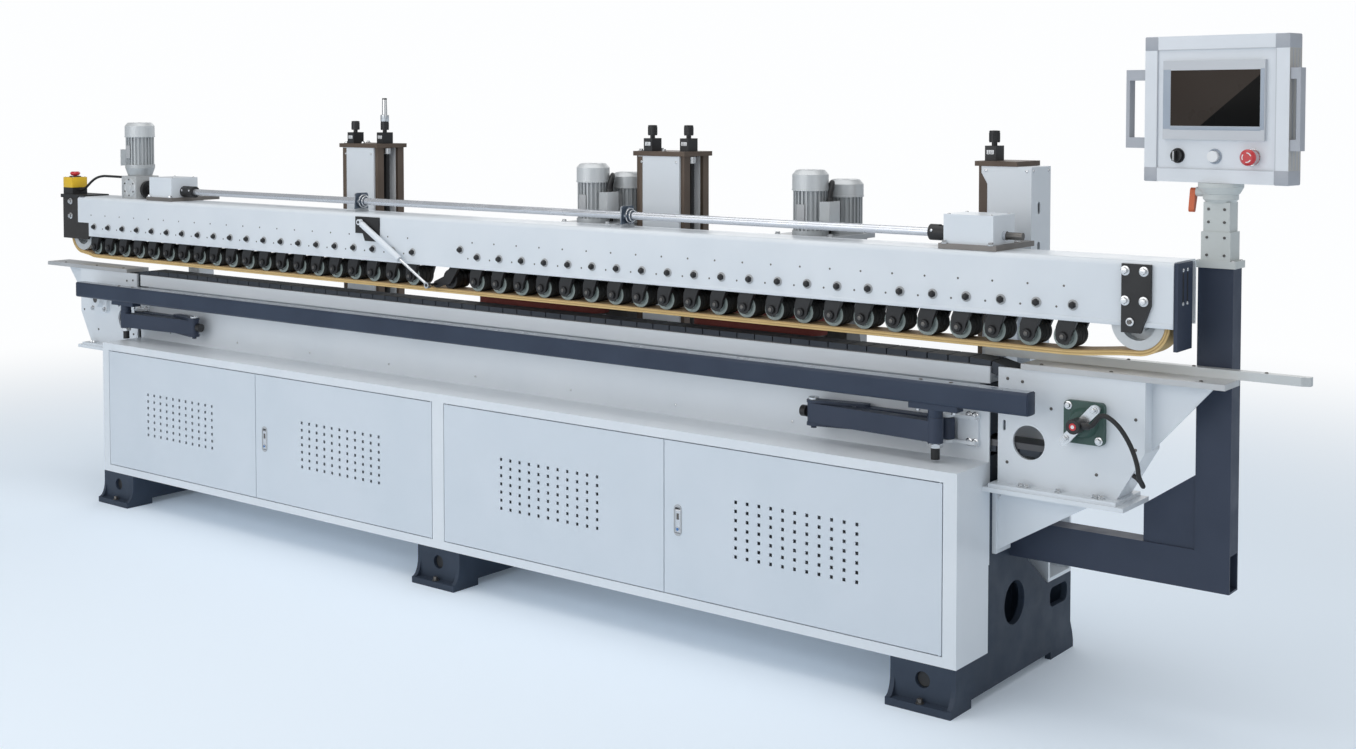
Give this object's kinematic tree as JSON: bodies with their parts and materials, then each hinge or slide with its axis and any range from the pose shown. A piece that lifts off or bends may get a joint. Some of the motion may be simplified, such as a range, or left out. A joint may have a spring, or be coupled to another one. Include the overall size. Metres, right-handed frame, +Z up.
{
  "type": "through-feed edge sander",
  "caption": "Long through-feed edge sander: pad chain under a lifting pressure beam with trailing rollers, cover cabinet with doors, folding support bar and swivel console.",
  "frame": {"origin": "on the floor under the middle of the bounding box", "axes": "+X along the machine towards the infeed end with the console, +Y from the operator's side to the back, +Z up"},
  "size_m": [5.266, 0.737, 1.747],
  "materials": {
    "white_paint": "semi-gloss powder coat",
    "slate_paint": "semi-gloss enamel",
    "slate_cast": "painted casting",
    "black_paint": "satin",
    "steel": "machined",
    "grey_paint": "satin",
    "motor_grey": "painted casting",
    "pad_rubber": "matt",
    "tread_rubber": "matt",
    "belt_tan": "matt",
    "green_paint": "painted casting",
    "brown_plate": "burnished plate",
    "abrasive": "coated abrasive",
    "black_plastic": "matt",
    "lead_black": "matt",
    "console_paint": "powder coat",
    "screen": "bezel round black glass",
    "red_plastic": "gloss",
    "yellow_plastic": "gloss",
    "orange_plastic": "gloss",
    "white_plastic": "gloss"
  },
  "bodies": {
    "frame": {"base_left": "slate_cast", "base_middle": "slate_cast", "base_right": "slate_cast", "cabinet_shell": "white_paint", "bed_beam": "white_paint", "feed_chain": "pad_rubber", "end_housings": "white_paint", "end_tables": "grey_paint", "infeed_fence": "steel", "flange_bearings": "green_paint", "feed_encoder": "steel", "encoder_cable": "lead_black", "lift_columns": "white_paint", "rear_bed": "white_paint", "unit_columns": "brown_plate", "column_covers": "white_paint", "adjusting_screws": "black_paint", "sanding_heads": "grey_paint", "sanding_motors": "motor_grey", "motor_leads": "lead_black", "abrasive_belts": "abrasive", "console_post": "slate_paint", "console_neck": "grey_paint", "arm_brackets": "white_paint"},
    "beam": {"beam_shell": "white_paint", "beam_end_brackets": "black_paint", "roller_arms": "black_paint", "pressure_rollers": "tread_rubber", "pressure_belt": "belt_tan", "lift_gearboxes": "white_paint", "lift_motor": "motor_grey", "beam_leads": "lead_black", "shaft_bearings": "steel", "estop_box": "yellow_plastic"},
    "door_a": {"door_a": "white_paint"},
    "door_b": {"door_b": "white_paint"},
    "door_c": {"door_c": "white_paint"},
    "door_d": {"door_d": "white_paint"},
    "latch_b": {"latch_b": "steel"},
    "latch_d": {"latch_d": "steel"},
    "right_inner": {"arm_right_inner": "slate_paint"},
    "right_outer": {"arm_right_outer": "slate_paint"},
    "bar": {"support_bar": "slate_paint"},
    "left_inner": {"arm_left_inner": "slate_paint"},
    "left_outer": {"arm_left_outer": "slate_paint"},
    "cross_shaft": {"lift_shaft": "steel"},
    "infeed_pulley": {"pulley_right": "motor_grey"},
    "outfeed_pulley": {"pulley_left": "motor_grey"},
    "swing": {"swing_arm": "black_paint"},
    "strut_body": {"strut_cylinder": "white_paint"},
    "strut_piston": {"strut_rod": "steel"},
    "idler": {"feed_idler": "steel"},
    "drive": {"feed_drive": "steel"},
    "console": {"console_box": "console_paint", "touch_screen": "screen"},
    "console_stop": {"console_estop": "red_plastic"},
    "selector": {"selector_knob": "black_plastic"},
    "start_button": {"push_button": "white_plastic"},
    "lever": {"clamp_lever": "orange_plastic"},
    "beam_stop": {"estop_button": "red_plastic"}
  },
  "joints": [
    {"name": "beam_lift", "type": "slide", "parent": "frame", "child": "beam", "axis": [0, 0, 1], "range_m": [-0.025, 0.03]},
    {"name": "cross_shaft_turn", "type": "hinge", "parent": "beam", "child": "cross_shaft", "pos_m": [-0.063, -0.1275, 1.23], "axis": [1, 0, 0], "continuous": true},
    {"name": "door_a_hinge", "type": "hinge", "parent": "frame", "child": "door_a", "pos_m": [-1.912, -0.3345, 0.3765], "axis": [0, 0, 1], "range_deg": [-110, 0]},
    {"name": "door_b_hinge", "type": "hinge", "parent": "frame", "child": "door_b", "pos_m": [-0.1005, -0.3345, 0.3765], "axis": [0, 0, 1], "range_deg": [0, 90]},
    {"name": "door_c_hinge", "type": "hinge", "parent": "frame", "child": "door_c", "pos_m": [-0.0255, -0.3345, 0.3765], "axis": [0, 0, 1], "range_deg": [-90, 0]},
    {"name": "door_d_hinge", "type": "hinge", "parent": "frame", "child": "door_d", "pos_m": [1.786, -0.3345, 0.3765], "axis": [0, 0, 1], "range_deg": [0, 110]},
    {"name": "latch_b_hinge", "type": "hinge", "parent": "door_b", "child": "latch_b", "pos_m": [-0.95475, -0.3375, 0.3995], "axis": [-1, 0, 0], "range_deg": [0, 40]},
    {"name": "latch_d_hinge", "type": "hinge", "parent": "door_d", "child": "latch_d", "pos_m": [0.93175, -0.3375, 0.3995], "axis": [-1, 0, 0], "range_deg": [0, 40]},
    {"name": "right_shoulder", "type": "hinge", "parent": "frame", "child": "right_inner", "pos_m": [1.725, -0.1905, 0.715], "axis": [0, 0, 1], "range_deg": [0, 64]},
    {"name": "right_elbow", "type": "hinge", "parent": "right_inner", "child": "right_outer", "pos_m": [1.32223, -0.222, 0.715], "axis": [0, 0, 1], "range_deg": [-128, 0]},
    {"name": "right_wrist", "type": "hinge", "parent": "right_outer", "child": "bar", "pos_m": [1.725, -0.2535, 0.715], "axis": [0, 0, 1], "range_deg": [0, 64]},
    {"name": "left_shoulder", "type": "hinge", "parent": "frame", "child": "left_inner", "pos_m": [-1.933, -0.1905, 0.715], "axis": [0, 0, 1], "range_deg": [-64, 0]},
    {"name": "left_elbow", "type": "hinge", "parent": "left_inner", "child": "left_outer", "pos_m": [-1.53023, -0.222, 0.715], "axis": [0, 0, 1], "range_deg": [0, 128]},
    {"name": "infeed_pulley_turn", "type": "hinge", "parent": "beam", "child": "infeed_pulley", "pos_m": [2.245, -0.1365, 1.037], "axis": [0, 1, 0], "continuous": true},
    {"name": "outfeed_pulley_turn", "type": "hinge", "parent": "beam", "child": "outfeed_pulley", "pos_m": [-2.353, -0.1365, 1.037], "axis": [0, 1, 0], "continuous": true},
    {"name": "swing_arm_hinge", "type": "hinge", "parent": "beam", "child": "swing", "pos_m": [-0.093, -0.1355, 1.092], "axis": [0, 1, 0], "range_deg": [0, 6]},
    {"name": "strut_tilt", "type": "hinge", "parent": "beam", "child": "strut_body", "pos_m": [-0.573, -0.2205, 1.164], "axis": [0, 1, 0], "range_deg": [-1.3, 0]},
    {"name": "strut_stroke", "type": "slide", "parent": "strut_body", "child": "strut_piston", "axis": [-0.8641, 0, 0.5032], "range_m": [0, 0.02]},
    {"name": "idler_turn", "type": "hinge", "parent": "frame", "child": "idler", "pos_m": [2.108, -0.1175, 0.771], "axis": [0, 1, 0], "continuous": true},
    {"name": "drive_turn", "type": "hinge", "parent": "frame", "child": "drive", "pos_m": [-2.234, -0.1175, 0.771], "axis": [0, 1, 0], "continuous": true},
    {"name": "console_swivel", "type": "hinge", "parent": "frame", "child": "console", "pos_m": [2.3895, -0.0105, 1.381], "axis": [0, 0, 1], "range_deg": [-60, 60]},
    {"name": "console_stop_press", "type": "slide", "parent": "console", "child": "console_stop", "axis": [0.1392, 0.9903, 0], "range_m": [0, 0.003]},
    {"name": "selector_turn", "type": "hinge", "parent": "console", "child": "selector", "pos_m": [2.28305, -0.02785, 1.447], "axis": [-0.1392, -0.9903, 0], "range_deg": [-45, 45]},
    {"name": "start_press", "type": "slide", "parent": "console", "child": "start_button", "axis": [0.1392, 0.9903, 0], "range_m": [0, 0.004], "stiffness_N_per_m": 400},
    {"name": "clamp_lever_turn", "type": "hinge", "parent": "frame", "child": "lever", "pos_m": [2.3285, -0.0105, 1.357], "axis": [1, 0, 0], "range_deg": [-40, 40]},
    {"name": "beam_stop_press", "type": "slide", "parent": "beam", "child": "beam_stop", "axis": [0, 0, -1], "range_m": [0, 0.003]}
  ],
  "couplings": [
    {"joint": "right_elbow", "follows": "right_shoulder", "ratio": -2},
    {"joint": "right_wrist", "follows": "right_shoulder", "ratio": 1},
    {"joint": "left_shoulder", "follows": "right_shoulder", "ratio": -1},
    {"joint": "left_elbow", "follows": "right_shoulder", "ratio": 2},
    {"joint": "strut_tilt", "follows": "swing_arm_hinge", "ratio": -0.1727},
    {"joint": "strut_stroke", "follows": "swing_arm_hinge", "m_per_rad": 0.1761},
    {"joint": "drive_turn", "follows": "idler_turn", "ratio": 1},
    {"joint": "outfeed_pulley_turn", "follows": "infeed_pulley_turn", "ratio": 1},
    {"joint": "cross_shaft_turn", "follows": "beam_lift", "rad_per_m": 1256.6}
  ]
}
